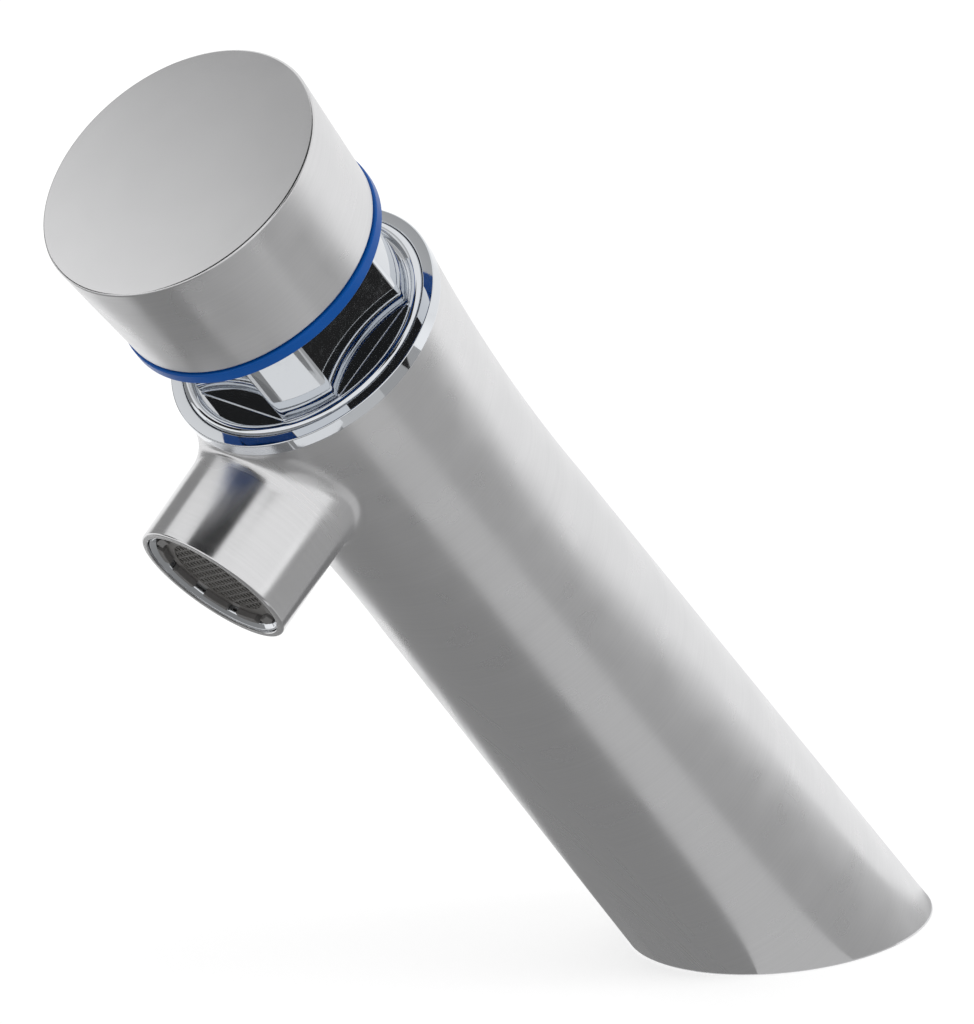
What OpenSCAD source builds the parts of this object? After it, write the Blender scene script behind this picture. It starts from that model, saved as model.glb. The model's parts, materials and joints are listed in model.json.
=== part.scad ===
// Self-closing push-button basin tap: a round body that leans forward from the deck, a short
// spout under its head, and a push cap with a cold-water ring. Millimetres and degrees.
// The origin is the centre of the base on the deck. +Z is up and the tap leans towards -Y.
// Places called t are measured from the origin along the leaning axis of the body, and
// places called d are measured from that axis along the spout.

/* [Body] */
// Lean of the body from the vertical
lean = 40; // [34:0.5:44]
// Diameter of the body at the deck, measured square to its axis
foot_d = 45.8; // [45:0.1:48]
// Diameter of the body at its waist
waist_d = 42.3; // [41.6:0.1:43.5]
// Place of the waist
waist_t = 121.5; // [110:0.5:130]
// Length of the body along its axis
body_len = 171.5; // [168:0.5:184]
// Diameter of the body under the collar
body_top_d = 48.7; // [47:0.1:49]
// Diameter of the hollow in the foot
hollow_d = 32; // [30:0.1:33]
// Depth of the chamber that takes the cartridge, from the top of the body
chamber_depth = 59.5; // [58:0.5:62]
// Diameter of the chamber
chamber_d = 32; // [31:0.1:32.6]
// Thickness of the web between the hollow and the chamber
web_h = 14; // [12:0.5:20]

/* [Spout] */
// Diameter of the spout
spout_d = 27.8; // [27.4:0.1:29]
// Distance from the top of the body down to the middle of the spout
spout_drop = 14.3; // [14:0.1:16]
// Angle between the body's axis and the spout
spout_angle = 91.5; // [88:0.5:95]
// Reach of the spout from the body's axis to its outlet
spout_reach = 41.3; // [38:0.1:60]
// Diameter of the water passage in the spout
passage_d = 12; // [8:0.5:12.5]
// Radius of the rounded edge at the outlet
lip_r = 1.0; // [0.4:0.1:1.2]

/* [Aerator] */
// Thread diameter of the aerator
aerator_d = 24; // [23.6:0.1:24]
// Depth of the aerator's seat from the outlet
aerator_depth = 11.5; // [10.5:0.5:14]
// Diameter of the aerator's chrome flange
flange_d = 25.2; // [24.8:0.1:25.4]
// Width of the chrome flange, seen from below
flange_w = 1.1; // [0.9:0.1:1.4]
// Distance of the flange inside the outlet
flange_inset = 0.4; // [0.2:0.1:0.8]
// Number of notches in the plastic cage
cage_notches = 10; // [6:1:12]
// Spacing of the mesh's square holes
mesh_pitch = 1.5; // [1.4:0.1:2]
// Width of the mesh's bars
mesh_bar = 0.5; // [0.4:0.1:0.8]
// Number of holes in the flow regulator
regulator_holes = 8; // [6:1:10]

/* [Collar and head] */
// Diameter of the chrome collar
collar_d = 49; // [48.9:0.1:51]
// Height of the collar
collar_h = 2.5; // [2:0.1:3]
// Width of the collar's flat rim
collar_rim = 2.1; // [1.5:0.1:2.4]
// Diameter of the round head
head_d = 39.5; // [38.5:0.1:40]
// Distance across the head's four flats
flats_w = 34; // [33:0.1:36]
// Height of the head above the body
head_h = 22.5; // [21:0.5:24]
// Diameter of the cartridge's thread in the body
thread_d = 36; // [34:0.5:37]
// Length of the cartridge's thread
thread_len = 7; // [5:0.5:7]

/* [Push cap] */
// Diameter of the cap's flat top
cap_d = 50; // [49:0.1:52]
// Diameter of the cap at its lower edge
cap_foot_d = 46.9; // [46.5:0.1:48]
// Height of the cap
cap_h = 23.4; // [22.6:0.1:26]
// Gap between the body and the lower edge of the cap
cap_lift = 21.05; // [20:0.05:24]
// Wall of the cap's skirt
cap_wall = 1.6; // [1:0.1:1.8]
// Thickness of the cap's top
cap_top = 2.6; // [2:0.1:3.5]
// Diameter of the cold-water ring
cold_d = 47.6; // [47.2:0.1:49]
// Height of the cold-water ring
cold_h = 2.2; // [1.5:0.1:3]

/* [Cartridge] */
// Stroke of the push cap
push_travel = 8; // [6:0.5:8]
// Diameter of the push stem
stem_d = 8; // [7:0.1:8]
// Bore of the timing cylinder
cylinder_d = 24; // [23:0.1:24.2]
// Wall of the cartridge sleeve around the cylinder
sleeve_wall = 2.2; // [1.6:0.1:2.4]
// Diameter of the valve seat's opening
seat_hole_d = 12; // [11:0.1:13]
// Thickness of the seat ring
seat_h = 3; // [2:0.1:3.2]
// Height of the timing piston
piston_h = 6; // [5:0.1:6.5]
// Thickness of the rubber valve washer
washer_h = 2.2; // [1.8:0.1:2.6]
// Thickness of the disc that carries the valve washer
poppet_h = 2.6; // [2:0.1:3]
// Diameter of that disc
poppet_d = 18; // [17:0.5:19]
// Step from the disc's side in to the washer's
washer_step = 0.4; // [0.2:0.1:0.8]
// Height of the room for the return spring
spring_room = 17; // [16:0.5:18]
// Wire of the return spring
wire_d = 1.2; // [0.9:0.1:1.3]
// Mean diameter of the return spring
coil_d = 17; // [16:0.1:17.5]
// Turns of the return spring
coil_turns = 5; // [4:1:6]
// Number of water ports in the sleeve
port_count = 6; // [4:1:8]
// Diameter of the water ports
port_d = 5.6; // [4:0.1:6]
// Thickness of the inlet strainer
strainer_h = 1.6; // [1:0.1:2]

/* [Foot and supply] */
// Top of the supply block
block_t = 32; // [31:0.5:40]
// Depth of the supply hose's threaded hole
inlet_depth = 14; // [13.5:0.1:16]
// Diameter of the supply hose's threaded hole
inlet_d = 9.2; // [8.4:0.1:9.6]
// Depth of the deck stud's threaded hole
stud_depth = 12; // [8:0.5:12]
// Diameter of the deck stud's threaded hole
stud_d = 6.8; // [5:0.1:7]
// Outer diameter of the feed tube
tube_d = 12; // [10:0.1:12]
// Wall of the feed tube
tube_wall = 1.2; // [0.8:0.1:1.5]
// Width of the gasket under the base
gasket_w = 2.2; // [1.6:0.1:2.4]
// Height of the gasket
gasket_h = 1.9; // [1.4:0.1:2.4]
// Diameter of the locking screw
lock_d = 5; // [4:0.1:6]
// Place of the locking screw
lock_t = 19; // [18:0.1:20]

/* [Fits] */
// Radial clearance between pieces that slide or turn on each other
run_gap = 0.06; // [0.03:0.01:0.08]
// Clearance between pieces that are fixed in each other
seat_gap = 0.1; // [0.06:0.01:0.12]
// Clearance between pieces that only pass each other
free_gap = 0.3; // [0.25:0.05:0.4]

/* [Hidden] */
$fn = 96;

// How far a cut runs past the face it leaves
cut = 1;
// Reach of a block that stands for everything on one side of a plane
far = 400;
// Facets of the wide arc that flares the body
arc_fn = 720;

// Radii of the body
foot_r = foot_d / 2;
waist_r = waist_d / 2;
top_r = body_top_d / 2;
hollow_r = hollow_d / 2;
chamber_r = chamber_d / 2;
// The flare is an arc that is upright at the waist and ends at the top of the body
flare_rise = body_len - waist_t;
flare_out = top_r - waist_r;
flare_r = (flare_rise ^ 2 + flare_out ^ 2) / (2 * flare_out);
// The straight cone of the body meets the arc where both have the same slope
cone_angle = atan((foot_r - waist_r) / waist_t);
touch_t = waist_t - flare_r * sin(cone_angle);
touch_r = waist_r + flare_r * (1 - cos(cone_angle));
// The body is drawn on below the deck before its foot is cut level
below_t = -foot_r * tan(lean) - 2 * cut;
chamber_t = body_len - chamber_depth;
hollow_t = chamber_t - web_h;
thread_t = body_len - thread_len;

// Feed tube and its seats
tube_r = tube_d / 2;
tube_seat = 8.2;
oring_r = 0.85;
groove_h = 2.2;
block_r = hollow_r - seat_gap;
inlet_y = inlet_depth * tan(lean);
inlet_roof_t = inlet_depth / cos(lean);
tube_low_t = block_t - tube_seat;
tube_high_t = hollow_t + tube_seat;
tube_low_seal_t = tube_low_t + 3.2;
tube_high_seal_t = tube_high_t - 4.5;
block_seal_t = block_t - 4.1;
drill_r = tube_r - 2;

// Places in the cartridge
thread_r = thread_d / 2;
head_r = head_d / 2;
collar_top_t = body_len + collar_h;
collar_r = collar_d / 2;
rim_r = collar_r - collar_rim;
ledge_t = body_len + 1;
bead_r = (rim_r - head_r) / 2 - seat_gap - 0.2;
bead_mid_r = rim_r - seat_gap - bead_r;
bead_t = ledge_t + bead_r + 0.175;
head_top_t = body_len + head_h;
head_wall = 8;
bush_r = 6.9;
bush_lip_r = 9;
bush_lip_h = 1.5;
retain_h = 1.4;
retain_r = 5;
cylinder_r = cylinder_d / 2;
sleeve_r = cylinder_r + sleeve_wall;
sleeve_top_t = body_len + 3.5;
stem_r = stem_d / 2;
strainer_t = chamber_t + strainer_h;
sleeve_seal_t = strainer_t + 4 + groove_h / 2;
poppet_t = strainer_t + push_travel + free_gap + 0.3;
washer_t = poppet_t + poppet_h;
seat_t = washer_t + washer_h;
seat_lip_h = 0.4;
seat_lip_w = 1.2;
shoulder_t = seat_t + seat_h;
foot_in_r = chamber_r - 2.6;
foot_out_r = chamber_r - seat_gap;
port_t = shoulder_t + port_d / 2 + 3;
web_t = port_t + port_d / 2 + 2;
spring_t = web_t + 3;
piston_t = spring_t + spring_room;
lip_low = 0.3 * piston_h;
lip_high = 0.7 * piston_h;
clip_h = 0.9;
clip_cut = 1;
journal_r = 3;
hub_t = head_top_t + push_travel + 1.4;
hub_h = 5;
stem_top_t = hub_t + hub_h + 2.4;
stem_low_t = poppet_t;

// Places in the push cap
cap_t = body_len + cap_lift;
cap_top_t = cap_t + cap_h;
cap_foot_r = cap_foot_d / 2;
cap_r = cap_d / 2;
cap_slope = (cap_r - cap_foot_r) / cap_h;
ceiling_t = cap_top_t - cap_top;
cold_r = cold_d / 2;
cold_gap = 0.18;
cold_bore_r = head_r + 0.75;
cap_edge = 0.4;
rim_t = hub_t - 2.5;

// Places in the spout
spout_t = body_len - spout_drop;
spout_r = spout_d / 2;
passage_r = passage_d / 2;
recess_d = spout_reach - aerator_depth;
aerator_r = aerator_d / 2;
flange_r = flange_d / 2;
flange_h = 1.5;
mouth_depth = flange_inset + flange_h + seat_gap;
flange_face = spout_reach - flange_inset;
flange_back = flange_face - flange_h;
rubber_h = 1.4;
housing_r = aerator_r - seat_gap;
housing_bore_r = flange_r - flange_w;
cage_r = housing_bore_r - seat_gap;
housing_lip_h = 1;
regulator_h = 2.6;
cage_wall = 1.3;
tooth_h = 1.8;
notch_h = 1.4;

// Radius inside the cap's skirt at a place on the axis
function skirt_r(t) = cap_foot_r + (t - cap_t) * cap_slope - cap_wall;

// Points of a ring of wire round a point of the spring's helix
function coil_ring(a, z, r, w, n) = [
    for (i = [0 : n - 1])
        let (u = r + w * cos(360 * i / n))
            [u * cos(a), u * sin(a), z + w * sin(360 * i / n)]
];

// Faces that join rings of n points into a tube with closed ends
function tube_faces(rings, n) = concat(
    [[for (i = [0 : n - 1]) i]],
    [for (k = [0 : rings - 2], i = [0 : n - 1])
        let (a = k * n + i, b = k * n + (i + 1) % n) [a, a + n, b]],
    [for (k = [0 : rings - 2], i = [0 : n - 1])
        let (a = k * n + i, b = k * n + (i + 1) % n) [b, a + n, b + n]],
    [[for (i = [n - 1 : -1 : 0]) (rings - 1) * n + i]]
);

// Puts its children on the body's axis at t
module on_axis(t = 0) {
    rotate([lean, 0, 0]) translate([0, 0, t]) children();
}

// Puts its children on the spout's axis at d
module on_spout(d = 0) {
    on_axis(spout_t) rotate([spout_angle, 0, 0]) translate([0, 0, d]) children();
}

// Solid round bar from one place to another
module bar(r, from, to) {
    translate([0, 0, from]) cylinder(r = r, h = to - from);
}

// Plain ring from one place to another
module ring(r_out, r_in, from, to) {
    difference() {
        bar(r_out, from, to);
        bar(r_in, from - cut, to + cut);
    }
}

// Rubber ring of round section
module oring(mid_r, r, at) {
    translate([0, 0, at]) rotate_extrude() translate([mid_r, 0]) circle(r = r, $fn = 32);
}

// Everything above the deck
module above_deck() {
    translate([-far / 2, -far / 2, 0]) cube(far);
}

// Copies its children evenly round the axis
module around(count) {
    for (i = [0 : count - 1]) rotate([0, 0, i * 360 / count]) children();
}

// Outside of the body: a slightly tapered round bar that flares to the collar
module body_outside() {
    rotate_extrude(convexity = 4) difference() {
        polygon([
            [0, below_t],
            [foot_r + (foot_r - touch_r) / touch_t * -below_t, below_t],
            [touch_r, touch_t],
            [top_r + cut, touch_t],
            [top_r + cut, body_len],
            [0, body_len]
        ]);
        translate([waist_r + flare_r, waist_t]) circle(r = flare_r, $fn = arc_fn);
    }
}

// Outside of the spout: a round bar with a rounded outlet edge
module spout_outside() {
    rotate_extrude() union() {
        square([spout_r, spout_reach - lip_r]);
        square([spout_r - lip_r, spout_reach]);
        translate([spout_r - lip_r, spout_reach - lip_r]) circle(r = lip_r, $fn = 48);
    }
}

// Leaning bore with a seal groove near its mouth, for one end of the feed tube
module tube_socket(from, to, groove) {
    bar(tube_r + seat_gap, from, to);
    bar(tube_r + 2 * oring_r + 2 * seat_gap, groove - groove_h / 2, groove + groove_h / 2);
}

// Groove under the base, bounded by two leaning cylinders
module gasket_band(grow, height) {
    mid_r = (hollow_r + foot_r) / 2 - 0.4;
    intersection() {
        on_axis() ring(mid_r + gasket_w / 2 + grow, mid_r - gasket_w / 2 - grow, below_t, foot_r);
        translate([-far / 2, -far / 2, -grow]) cube([far, far, height + 2 * grow]);
    }
}

module tap_body() {
    color([0.72, 0.72, 0.71]) difference() {
        intersection() {
            union() {
                on_axis() body_outside();
                on_spout() spout_outside();
            }
            above_deck();
        }
        on_axis() {
            bar(hollow_r, below_t, hollow_t);
            tube_socket(hollow_t - cut, tube_high_t + seat_gap, tube_high_seal_t);
            bar(drill_r, hollow_t, chamber_t + cut);
            bar(chamber_r, chamber_t, body_len + cut);
            bar(thread_r, thread_t, body_len + cut);
            translate([0, 0, lock_t]) rotate([-90, 0, 0])
                bar(lock_d / 2 + seat_gap, 0, foot_r + cut);
        }
        on_spout() {
            bar(passage_r, 0, spout_reach);
            bar(aerator_r, recess_d, spout_reach + cut);
            bar(flange_r + seat_gap, spout_reach - mouth_depth, spout_reach + cut);
        }
        gasket_band(seat_gap, gasket_h);
    }
}

module base_gasket() {
    color([0.08, 0.08, 0.09]) intersection() {
        gasket_band(0, gasket_h);
        above_deck();
    }
}

// Brass block in the foot, with the deck stud's thread and the supply hose's thread
module supply_block() {
    color([0.78, 0.62, 0.3]) difference() {
        intersection() {
            on_axis() difference() {
                bar(block_r, below_t, block_t);
                ring(block_r + cut, block_r - 1.6, block_seal_t - groove_h / 2,
                     block_seal_t + groove_h / 2);
                bar(drill_r, inlet_roof_t, block_t + cut);
                tube_socket(tube_low_t - seat_gap, block_t + cut, tube_low_seal_t);
                translate([0, 0, lock_t]) rotate([-90, 0, 0])
                    bar(lock_d / 2 + seat_gap, block_r - 3.5, block_r + cut);
            }
            above_deck();
        }
        bar(stud_d / 2, -cut, stud_depth);
        translate([0, -inlet_y, 0]) bar(inlet_d / 2, -cut, inlet_depth);
    }
}

module block_oring() {
    color([0.1, 0.1, 0.11]) on_axis() oring(hollow_r - 0.9, 0.8, block_seal_t);
}

// Hollow-ended grub screw that locks the supply block from behind
module lock_screw() {
    color([0.55, 0.55, 0.56]) on_axis(lock_t) rotate([-90, 0, 0]) difference() {
        bar(lock_d / 2, block_r - 3.4, hollow_r + 4);
        translate([0, 0, hollow_r + 1.2]) cylinder(d = lock_d / 2 + 0.4, h = 4, $fn = 6);
    }
}

module feed_tube() {
    color([0.8, 0.5, 0.33]) on_axis() ring(tube_r, tube_r - tube_wall, tube_low_t, tube_high_t);
}

module tube_orings() {
    color([0.1, 0.1, 0.11]) on_axis() for (t = [tube_low_seal_t, tube_high_seal_t])
        oring(tube_r + oring_r + seat_gap / 2, oring_r, t);
}

// Perforated disc on the floor of the chamber
module inlet_strainer() {
    hole_r = 1.1;
    inner_circle_r = 4.4;
    outer_circle_r = 8;
    color([0.75, 0.76, 0.77]) on_axis() difference() {
        bar(foot_out_r, chamber_t, strainer_t);
        around(8) translate([inner_circle_r, 0, 0])
            bar(hole_r, chamber_t - cut, strainer_t + cut);
        around(14) translate([outer_circle_r, 0, 0])
            bar(hole_r, chamber_t - cut, strainer_t + cut);
    }
}

// Cartridge sleeve: wide foot with the seat, water ports, web for the stem, timing cylinder
module cartridge_sleeve() {
    color([0.88, 0.88, 0.84]) on_axis() difference() {
        union() {
            bar(foot_out_r, strainer_t, shoulder_t);
            bar(sleeve_r, strainer_t, sleeve_top_t);
        }
        ring(foot_out_r + cut, foot_out_r - 1.6, sleeve_seal_t - groove_h / 2,
             sleeve_seal_t + groove_h / 2);
        bar(foot_in_r, strainer_t - cut, shoulder_t);
        bar(seat_hole_d / 2 + 3, shoulder_t - cut, web_t);
        bar(stem_r + run_gap, web_t - cut, spring_t + cut);
        bar(cylinder_r, spring_t, sleeve_top_t + cut);
        around(port_count) translate([0, 0, port_t]) rotate([0, 90, 0])
            bar(port_d / 2, seat_hole_d / 2, sleeve_r + cut);
    }
}

module sleeve_oring() {
    color([0.1, 0.1, 0.11]) on_axis() oring(chamber_r - 0.9, 0.8, sleeve_seal_t);
}

// Seat ring with a raised round lip around its opening
module valve_seat_ring() {
    color([0.8, 0.66, 0.36]) on_axis() difference() {
        union() {
            bar(foot_in_r - seat_gap, seat_t + seat_lip_h, shoulder_t);
            bar(seat_hole_d / 2 + seat_lip_w, seat_t, shoulder_t);
        }
        bar(seat_hole_d / 2, seat_t - cut, shoulder_t + cut);
    }
}

module head_oring() {
    color([0.1, 0.1, 0.11]) on_axis()
        oring((chamber_r + thread_r) / 2, (thread_r - chamber_r) / 2 - 0.15, thread_t + 0.85);
}

// Chrome cartridge head: threaded skirt, flange with a rounded bead, bar with four flats
module cartridge_head() {
    color([0.86, 0.87, 0.89]) on_axis() difference() {
        union() {
            bar(thread_r - seat_gap, thread_t + 1.8, ledge_t + cut);
            bar(rim_r - seat_gap, ledge_t, bead_t);
            rotate_extrude() translate([bead_mid_r, bead_t])
                circle(r = bead_r, $fn = 48);
            intersection() {
                bar(head_r, ledge_t, head_top_t);
                translate([-flats_w / 2, -flats_w / 2, ledge_t]) cube([flats_w, flats_w, head_h]);
            }
        }
        bar(sleeve_r + seat_gap, thread_t, sleeve_top_t);
        bar(cylinder_r, sleeve_top_t - cut, head_top_t - head_wall);
        bar(bush_r + seat_gap, head_top_t - head_wall - cut, head_top_t - retain_h);
        bar(retain_r, head_top_t - head_wall, head_top_t + cut);
    }
}

// Chrome trim ring between the body and the head
module collar_ring() {
    color([0.82, 0.84, 0.87]) on_axis() difference() {
        bar(collar_r, body_len, collar_top_t);
        bar(thread_r + seat_gap, body_len - cut, collar_top_t + cut);
        bar(rim_r, ledge_t, collar_top_t + cut);
    }
}

// Plastic bush that guides the stem, with a lip under the head's end wall
module guide_bush() {
    color([0.9, 0.9, 0.86]) on_axis() difference() {
        union() {
            bar(bush_r, head_top_t - head_wall, head_top_t - retain_h - 2.2);
            bar(bush_lip_r, head_top_t - head_wall - bush_lip_h, head_top_t - head_wall);
        }
        bar(stem_r + run_gap, hollow_t, head_top_t);
    }
}

module stem_seal() {
    color([0.12, 0.12, 0.13]) on_axis() difference() {
        bar(bush_r, head_top_t - retain_h - 2.1, head_top_t - retain_h);
        bar(stem_r + run_gap, hollow_t, head_top_t);
        ring(bush_r - 1, bush_r - 1.8, head_top_t - retain_h - 3.2, head_top_t - retain_h - 1.2);
    }
}

// Stem from the valve up through the head, with grooves for its two clips
module push_stem() {
    color([0.76, 0.77, 0.78]) on_axis() difference() {
        union() {
            bar(journal_r, stem_low_t, seat_t);
            bar(stem_r, seat_t - seat_gap, hub_t - seat_gap);
            bar(journal_r, hub_t - cut, stem_top_t);
        }
        clip_groove(stem_r, piston_t + piston_h + seat_gap);
        clip_groove(journal_r, hub_t + hub_h + run_gap);
    }
}

// Groove round a shaft for a retaining clip
module clip_groove(r, at) {
    ring(r + cut, r - 0.6, at, at + clip_cut);
}

// Open retaining clip that sits in a groove of a shaft
module shaft_clip(r, at) {
    difference() {
        ring(r + 1.4, r - 0.5, at, at + clip_h);
        translate([r - 2, -0.8, at - cut]) cube([5, 1.6, clip_h + 2 * cut]);
    }
}

module valve_poppet() {
    color([0.8, 0.66, 0.36]) on_axis() ring(poppet_d / 2, journal_r + seat_gap, poppet_t, washer_t);
}

module valve_washer() {
    color([0.12, 0.12, 0.13]) on_axis()
        ring(poppet_d / 2 - washer_step, journal_r + seat_gap, washer_t, seat_t - seat_gap);
}

// Timing piston with a groove for its lip seal and holes that let water past the lip
module timing_piston() {
    hole_r = 0.7;
    hole_circle_r = 7;
    color([0.9, 0.9, 0.86]) on_axis() difference() {
        bar(cylinder_r - 0.4, piston_t, piston_t + piston_h);
        bar(stem_r + seat_gap, piston_t - cut, piston_t + piston_h + cut);
        ring(cylinder_r, cylinder_r - 2.6, piston_t + lip_low, piston_t + lip_high);
        around(4) rotate([0, 0, 45]) translate([hole_circle_r, 0, 0])
            bar(hole_r, piston_t - cut, piston_t + piston_h + cut);
    }
}

// Lip seal in the piston's groove, with a V-shaped opening on its upper side
module piston_lip_seal() {
    low = piston_t + lip_low + seat_gap;
    high = piston_t + lip_high - seat_gap;
    out_r = cylinder_r - run_gap;
    color([0.12, 0.12, 0.13]) on_axis() rotate_extrude() polygon([
        [cylinder_r - 2.5, low], [out_r - 0.5, low], [out_r, high - 0.5], [out_r, high],
        [out_r - 0.5, high], [out_r - 1.1, low + 0.9], [cylinder_r - 1.9, high],
        [cylinder_r - 2.5, high]
    ]);
}

module piston_clip() {
    color([0.6, 0.6, 0.62]) on_axis() shaft_clip(stem_r, piston_t + piston_h + seat_gap);
}

// Compression spring between the sleeve's web and the piston, one unbroken helix
module return_spring() {
    steps = 20;
    sides = 8;
    low = spring_t + wire_d / 2 + seat_gap;
    high = piston_t - wire_d / 2 - seat_gap;
    turns = coil_turns * steps;
    rings = [for (k = [0 : turns]) each
        coil_ring(360 * k / steps, low + (high - low) * k / turns, coil_d / 2, wire_d / 2, sides)];
    color([0.7, 0.71, 0.72]) on_axis() polyhedron(rings, tube_faces(turns + 1, sides));
}

// Carrier inside the cap: boss on the stem, pierced disc and a tapered rim that fills the cap
module cap_hub() {
    disc_t = hub_t + 1.2;
    boss_r = 7;
    disc_r = skirt_r(disc_t) - 1;
    color([0.85, 0.85, 0.82]) on_axis() difference() {
        union() {
            bar(boss_r, hub_t, hub_t + hub_h);
            bar(disc_r, disc_t, disc_t + 2.4);
            difference() {
                hub_taper(seat_gap, rim_t, ceiling_t - seat_gap);
                hub_taper(seat_gap + 1.8, rim_t - cut, ceiling_t + cut);
            }
        }
        bar(journal_r + run_gap, hub_t - cut, ceiling_t);
        around(6) translate([(boss_r + disc_r) / 2 - 0.7, 0, 0]) bar(3, disc_t - cut, disc_t + 4);
    }
}

// Solid taper that follows the inside of the cap's skirt
module hub_taper(inset, from, to) {
    translate([0, 0, from])
        cylinder(r1 = skirt_r(from) - inset, r2 = skirt_r(to) - inset, h = to - from);
}

module hub_clip() {
    color([0.6, 0.6, 0.62]) on_axis() shaft_clip(journal_r, hub_t + hub_h + run_gap);
}

// Blue cold-water ring that is pressed into the mouth of the cap
module cold_ring() {
    edge = 0.4;
    low = cap_t - cold_gap - cold_h;
    high = cap_t - cold_gap;
    tongue_h = 6;
    color([0.03, 0.27, 0.62]) on_axis() difference() {
        union() {
            rotate_extrude() polygon([
                [0, low], [cold_r - edge, low], [cold_r, low + edge], [cold_r, high - edge / 2],
                [cold_r - edge / 2, high], [0, high]
            ]);
            bar(skirt_r(cap_t) - seat_gap, low + cut, cap_t + tongue_h);
        }
        bar(cold_bore_r, low - cut, cap_t + tongue_h + cut);
    }
}

// Push cap: an inverted cup that widens to its flat top
module push_cap() {
    color([0.74, 0.74, 0.74]) on_axis() difference() {
        rotate_extrude() polygon([
            [0, cap_t], [cap_foot_r, cap_t], [cap_r, cap_top_t - cap_edge],
            [cap_r - cap_edge, cap_top_t], [0, cap_top_t]
        ]);
        hub_taper(0, cap_t - cut, ceiling_t);
    }
}

module aerator_washer() {
    color([0.1, 0.1, 0.11]) on_spout()
        ring(housing_r - 0.2, passage_r + 2, recess_d, recess_d + rubber_h);
}

// Plastic disc with a ring of jets around a centre pin
module flow_regulator() {
    low = recess_d + rubber_h + housing_lip_h + 2 * seat_gap;
    jet_r = 1.1;
    jet_circle_r = 6.8;
    pin_r = 1.6;
    color([0.82, 0.84, 0.86]) on_spout() {
        difference() {
            bar(cage_r, low, low + regulator_h);
            around(regulator_holes) translate([jet_circle_r, 0, 0])
                bar(jet_r, low - cut, low + regulator_h + cut);
        }
        bar(pin_r, low, low + regulator_h + 1);
    }
}

// Chrome aerator housing: thread, inner lip at the back and a flange in the spout's mouth
module aerator_housing() {
    back = recess_d + rubber_h + seat_gap;
    color([0.86, 0.87, 0.89]) on_spout() difference() {
        union() {
            bar(housing_r, back, flange_face);
            bar(flange_r, flange_back, flange_face);
        }
        bar(cage_r - 1.6, back - cut, flange_face);
        bar(housing_bore_r, back + housing_lip_h, flange_face + cut);
    }
}

// Plastic cage with a notched front edge and an inner ledge for the mesh
module aerator_cage() {
    low = recess_d + rubber_h + housing_lip_h + regulator_h + 3 * seat_gap;
    front = flange_face - 0.4;
    notch_w = 2.2;
    color([0.22, 0.22, 0.23]) on_spout() difference() {
        bar(cage_r, low, front);
        bar(cage_r - cage_wall - 0.9, low - cut, front + cut);
        bar(cage_r - cage_wall, front - tooth_h, front + cut);
        around(cage_notches) translate([cage_r - cage_wall - 0.4, -notch_w / 2, front - notch_h])
            cube([cage_wall + cut, notch_w, notch_h + cut]);
    }
}

// Mesh disc with square holes inside a plain rim
module aerator_mesh() {
    front = flange_face - 0.4 - tooth_h + seat_gap;
    mesh_r = cage_r - cage_wall - seat_gap;
    net_r = mesh_r - 0.8;
    half = floor(net_r / mesh_pitch);
    color([0.3, 0.3, 0.31]) on_spout(front) linear_extrude(0.6) difference() {
        circle(r = mesh_r);
        intersection() {
            circle(r = net_r);
            for (i = [-half : half], j = [-half : half])
                translate([i * mesh_pitch, j * mesh_pitch])
                    square(mesh_pitch - mesh_bar, center = true);
        }
    }
}

tap_body();
base_gasket();
supply_block();
block_oring();
lock_screw();
feed_tube();
tube_orings();
inlet_strainer();
cartridge_sleeve();
sleeve_oring();
valve_seat_ring();
head_oring();
cartridge_head();
collar_ring();
guide_bush();
stem_seal();
push_stem();
valve_poppet();
valve_washer();
timing_piston();
piston_lip_seal();
piston_clip();
return_spring();
cap_hub();
hub_clip();
cold_ring();
push_cap();
aerator_washer();
flow_regulator();
aerator_housing();
aerator_cage();
aerator_mesh();
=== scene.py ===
"""Looks of a self-closing push-button basin tap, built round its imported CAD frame.

The frame stays as it is. The pieces that show are modelled again with finer edges, and every other
node gets a finish. Sizes are in millimetres and become metres when a piece is put in its place.
"""

import json
import logging
import math
from abc import ABC, abstractmethod
from dataclasses import dataclass, field
from enum import Enum
from typing import Callable, Sequence

import bmesh
import bpy
from mathutils import Euler, Matrix, Vector


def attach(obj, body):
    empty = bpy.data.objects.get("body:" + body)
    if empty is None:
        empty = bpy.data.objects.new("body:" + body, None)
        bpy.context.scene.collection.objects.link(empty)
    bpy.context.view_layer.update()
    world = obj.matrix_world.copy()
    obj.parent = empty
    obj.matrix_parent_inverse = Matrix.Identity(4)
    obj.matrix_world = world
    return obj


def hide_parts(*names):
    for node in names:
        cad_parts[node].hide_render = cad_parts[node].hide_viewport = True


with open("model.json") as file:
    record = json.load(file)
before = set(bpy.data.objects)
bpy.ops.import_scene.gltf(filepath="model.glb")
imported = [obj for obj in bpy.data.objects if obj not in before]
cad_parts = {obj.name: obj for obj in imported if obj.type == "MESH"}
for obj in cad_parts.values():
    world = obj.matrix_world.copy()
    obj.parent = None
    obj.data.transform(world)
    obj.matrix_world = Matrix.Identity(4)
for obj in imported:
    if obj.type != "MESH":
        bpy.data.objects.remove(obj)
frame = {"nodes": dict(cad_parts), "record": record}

LOG = logging.getLogger("basin_tap")
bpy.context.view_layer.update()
MM = 0.001
SIDES = 192  # edges round every turned piece
LEAN = math.radians(40.0)  # lean of the body from the vertical
SPOUT_T = 157.2  # place of the spout on the body's axis
SPOUT_ANGLE = math.radians(91.5)  # angle between the body's axis and the spout

Pair = tuple[float, float]
Place = Callable[[Vector], Vector]
Tree = bpy.types.NodeTree
Node = bpy.types.Node
Material = bpy.types.Material
Thing = bpy.types.Object
Socket = bpy.types.NodeSocket


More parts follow.
